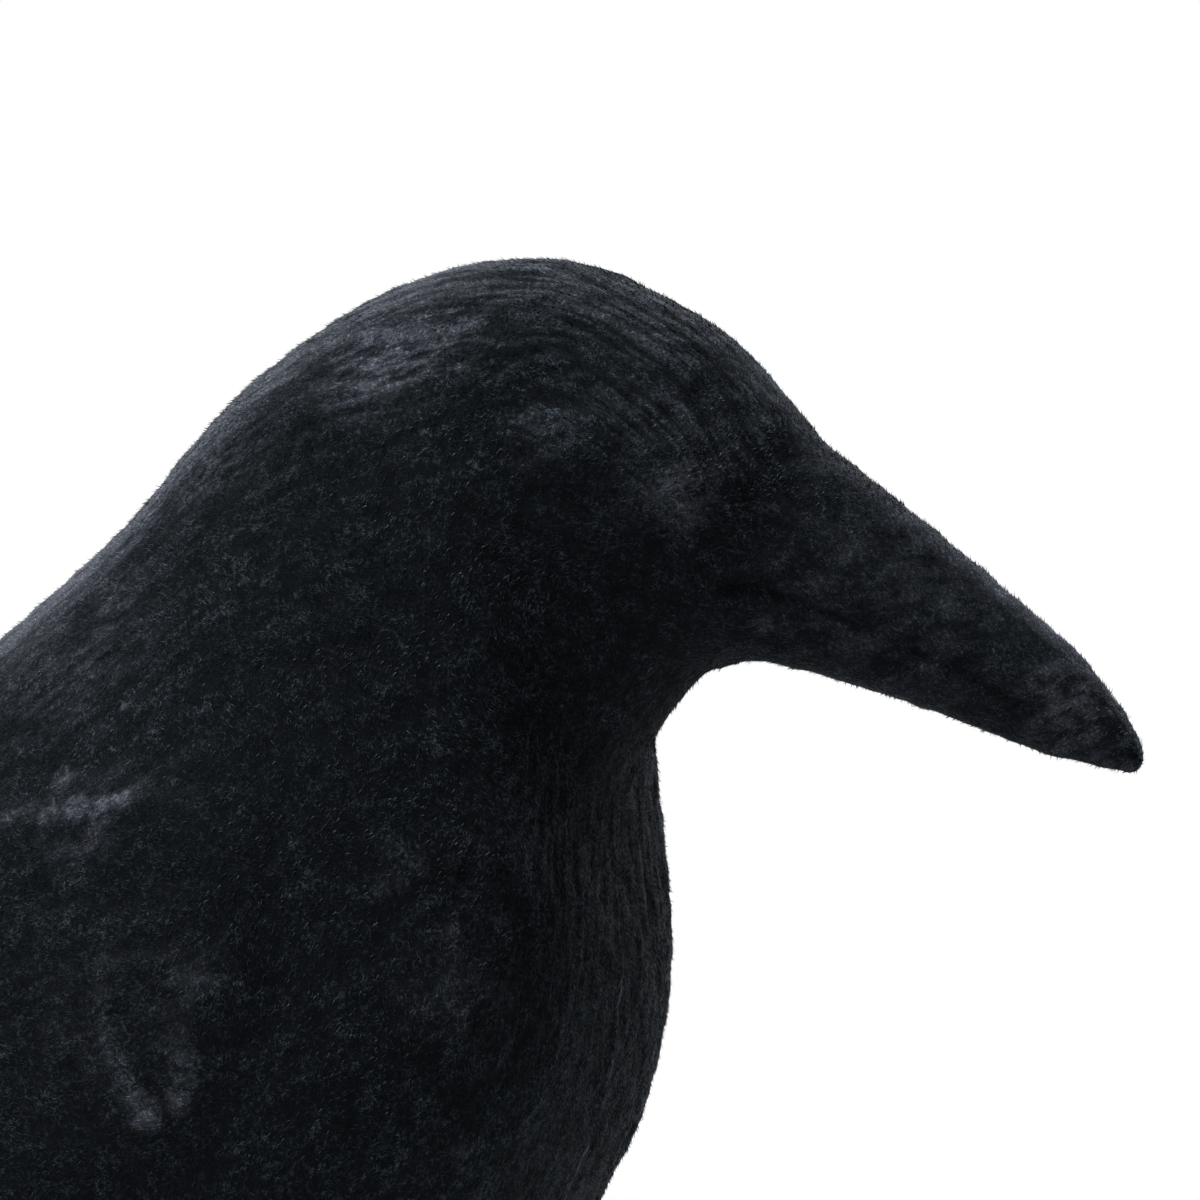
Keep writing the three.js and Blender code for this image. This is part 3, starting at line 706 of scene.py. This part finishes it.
def fibreTree():
    tree = bpy.data.node_groups.new("flock_fibres", "GeometryNodeTree")
    tree.interface.new_socket("Shell", in_out="INPUT", socket_type="NodeSocketGeometry")
    for name in ("Density", "Length", "Thickness", "Lean", "Spread", "From", "To"):
        tree.interface.new_socket(name, in_out="INPUT", socket_type="NodeSocketFloat")
    tree.interface.new_socket("Seed", in_out="INPUT", socket_type="NodeSocketInt")
    tree.interface.new_socket("Finish", in_out="INPUT", socket_type="NodeSocketMaterial")
    tree.interface.new_socket("Fibres", in_out="OUTPUT", socket_type="NodeSocketGeometry")
    given = node(tree, "NodeGroupInput").outputs
    link = tree.links.new

    station = node(tree, "GeometryNodeInputNamedAttribute", data_type="FLOAT")
    station.inputs["Name"].default_value = "station"
    after = maths(tree, "GREATER_THAN", station.outputs["Attribute"], given["From"])
    before = maths(tree, "LESS_THAN", station.outputs["Attribute"], given["To"])
    height = node(tree, "ShaderNodeSeparateXYZ")
    link(node(tree, "GeometryNodeInputPosition").outputs[0], height.inputs[0])
    above = maths(tree, "GREATER_THAN", height.outputs["Z"], fibres["bareBelow"] * mm)
    here = maths(tree, "MULTIPLY", maths(tree, "MULTIPLY", after, before), above)
    scatter = node(tree, "GeometryNodeDistributePointsOnFaces", distribute_method="RANDOM")
    link(given["Shell"], scatter.inputs["Mesh"])
    link(maths(tree, "MULTIPLY", here, given["Density"]), scatter.inputs["Density"])
    link(given["Seed"], scatter.inputs["Seed"])

    lay = node(tree, "GeometryNodeInputNamedAttribute", data_type="FLOAT_VECTOR")
    lay.inputs["Name"].default_value = "nap"
    leaning = node(tree, "ShaderNodeVectorMath", operation="SCALE")
    link(lay.outputs["Attribute"], leaning.inputs[0])
    link(given["Lean"], leaning.inputs["Scale"])
    anyWay = node(tree, "FunctionNodeRandomValue", data_type="FLOAT_VECTOR")
    anyWay.inputs["Min"].default_value = (-1, -1, -1)
    anyWay.inputs["Max"].default_value = (1, 1, 1)
    link(given["Seed"], anyWay.inputs["Seed"])
    loose = node(tree, "ShaderNodeVectorMath", operation="SCALE")
    link(anyWay.outputs["Value"], loose.inputs[0])
    link(given["Spread"], loose.inputs["Scale"])
    bent = node(tree, "ShaderNodeVectorMath", operation="ADD")
    link(leaning.outputs["Vector"], bent.inputs[0])
    link(loose.outputs["Vector"], bent.inputs[1])
    way = node(tree, "ShaderNodeVectorMath", operation="ADD")
    link(scatter.outputs["Normal"], way.inputs[0])
    link(bent.outputs["Vector"], way.inputs[1])
    turned = node(tree, "FunctionNodeAlignRotationToVector", axis="Z")
    link(way.outputs["Vector"], turned.inputs["Vector"])

    spike = node(tree, "GeometryNodeMeshCone", fill_type="NGON")
    spike.inputs["Vertices"].default_value = fibres["sides"]
    link(maths(tree, "MULTIPLY", given["Thickness"], 0.5), spike.inputs["Radius Bottom"])
    spike.inputs["Radius Top"].default_value = 0
    link(given["Length"], spike.inputs["Depth"])
    sizes = node(tree, "FunctionNodeRandomValue", data_type="FLOAT")
    minimum, maximum = (next(s for s in sizes.inputs if s.name == name and s.type == "VALUE")
                        for name in ("Min", "Max"))
    minimum.default_value, maximum.default_value = fibres["sizes"]
    shades = node(tree, "FunctionNodeRandomValue", data_type="FLOAT")
    keep = node(tree, "GeometryNodeStoreNamedAttribute", data_type="FLOAT", domain="POINT")
    keep.inputs["Name"].default_value = "shade"
    link(scatter.outputs["Points"], keep.inputs["Geometry"])
    link(next(s for s in shades.outputs if s.type == "VALUE"), keep.inputs["Value"])
    placed = node(tree, "GeometryNodeInstanceOnPoints")
    link(keep.outputs["Geometry"], placed.inputs["Points"])
    link(spike.outputs["Mesh"], placed.inputs["Instance"])
    link(turned.outputs["Rotation"], placed.inputs["Rotation"])
    link(next(s for s in sizes.outputs if s.type == "VALUE"), placed.inputs["Scale"])
    real = node(tree, "GeometryNodeRealizeInstances")
    link(placed.outputs["Instances"], real.inputs["Geometry"])
    dressed = node(tree, "GeometryNodeSetMaterial")
    link(real.outputs["Geometry"], dressed.inputs["Geometry"])
    link(given["Finish"], dressed.inputs["Material"])
    link(dressed.outputs["Geometry"], node(tree, "NodeGroupOutput").inputs["Fibres"])
    return tree

def growFibres(shellPiece, tree, name, stretch, finish, seed):
    grower = bpy.data.objects.new(name + "_grower", shellPiece.data.copy())
    bpy.context.collection.objects.link(grower)
    grow = grower.modifiers.new("fibres", "NODES")
    grow.node_group = tree
    given = {"Density": stretch[2] / mm ** 2, "Length": fibres["length"] * mm,
             "Thickness": fibres["thickness"] * mm, "Lean": fibres["lean"],
             "Spread": fibres["spread"], "From": float(stretch[0]), "To": float(stretch[1]),
             "Seed": seed, "Finish": finish}
    for socket in tree.interface.items_tree:
        if socket.in_out == "INPUT" and socket.name in given:
            grow[socket.identifier] = given[socket.name]
    grower.update_tag()
    grown = grower.evaluated_get(bpy.context.evaluated_depsgraph_get())
    mesh = bpy.data.meshes.new_from_object(grown)
    bpy.data.objects.remove(grower)
    mesh.name = name
    piece = bpy.data.objects.new(name, mesh)
    bpy.context.collection.objects.link(piece)
    print(name, len(mesh.polygons), "triangles")
    return piece

def fibreMaterial():
    mat = bpy.data.materials.new("flock_fibre")
    mat.use_nodes = True
    tree = mat.node_tree
    where = node(tree, "ShaderNodeTexCoord").outputs["Object"]
    shade = node(tree, "ShaderNodeAttribute", attribute_name="shade").outputs["Fac"]
    finishFlock(mat, spread(tree, shade, *fibres["shade"]), where)
    return mat

fibreMat = fibreMaterial()
tree = fibreTree()
for number, (name, stretch) in enumerate(fibres["stretches"].items()):
    grown = growFibres(body, tree, name, stretch, fibreMat, fibres["seed"] + number)
    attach(grown, "root")
print("fibres grown")


# A plain pale table top, a white surround that gives only a soft light, and large lamps above,
# behind and on the camera's side.
studio = {
    "tableRadius": 0.34, "tableSides": 96, "tableTone": 0.6, "tableRoughness": 0.9, "surround": 0.1,
    "above": {"place": (-0.4, -0.35, 1.85), "aim": (0.06, 0, 0.1), "power": 48, "size": 1.1},
    "behind": {"place": (-0.35, 1.5, 0.7), "aim": (0.06, 0, 0.1), "power": 60, "size": 2.0},
    "fill": {"place": (-0.7, -1.5, 0.7), "aim": (0.06, 0, 0.1), "power": 4, "size": 1.0},
}

def makeTable():
    sides = range(studio["tableSides"])
    turns = [2 * math.pi * k / studio["tableSides"] for k in sides]
    radius = studio["tableRadius"]
    rim = [(radius * math.cos(a), radius * math.sin(a), 0) for a in turns]
    mesh = bpy.data.meshes.new("studio_table")
    mesh.from_pydata(rim, [], [tuple(sides)])
    table = bpy.data.objects.new("studio_table", mesh)
    bpy.context.collection.objects.link(table)
    mat = bpy.data.materials.new("studio_table")
    mat.use_nodes = True
    shader = mat.node_tree.nodes["Principled BSDF"]
    shader.inputs["Base Color"].default_value = (*[studio["tableTone"]] * 3, 1)
    shader.inputs["Roughness"].default_value = studio["tableRoughness"]
    mesh.materials.append(mat)

def makeSurround():                          # seen white, but its light is held back
    world = bpy.data.worlds.new("studio")
    world.use_nodes = True
    tree = world.node_tree
    soft = tree.nodes["Background"]
    white = (1, 1, 1, 1)
    soft.inputs["Color"].default_value = white
    soft.inputs["Strength"].default_value = studio["surround"]
    seen = node(tree, "ShaderNodeBackground")
    seen.inputs["Color"].default_value = white
    ray = node(tree, "ShaderNodeLightPath")
    either = node(tree, "ShaderNodeMixShader")
    tree.links.new(ray.outputs["Is Camera Ray"], either.inputs["Fac"])
    tree.links.new(soft.outputs["Background"], either.inputs[1])
    tree.links.new(seen.outputs["Background"], either.inputs[2])
    tree.links.new(either.outputs["Shader"], tree.nodes["World Output"].inputs["Surface"])
    bpy.context.scene.world = world

def makeLamp(name):
    given = studio[name]
    lamp = bpy.data.lights.new(name, "AREA")
    lamp.energy, lamp.size = given["power"], given["size"]
    holder = bpy.data.objects.new(name, lamp)
    holder.location = given["place"]
    holder.rotation_mode = "QUATERNION"
    towards = Vector(given["aim"]) - Vector(given["place"])
    holder.rotation_quaternion = towards.to_track_quat("-Z", "Y")
    bpy.context.collection.objects.link(holder)

makeTable()
makeSurround()
for name in ("above", "behind", "fill"):
    makeLamp(name)
bpy.context.scene.view_settings.view_transform = "Standard"
print("studio lit")
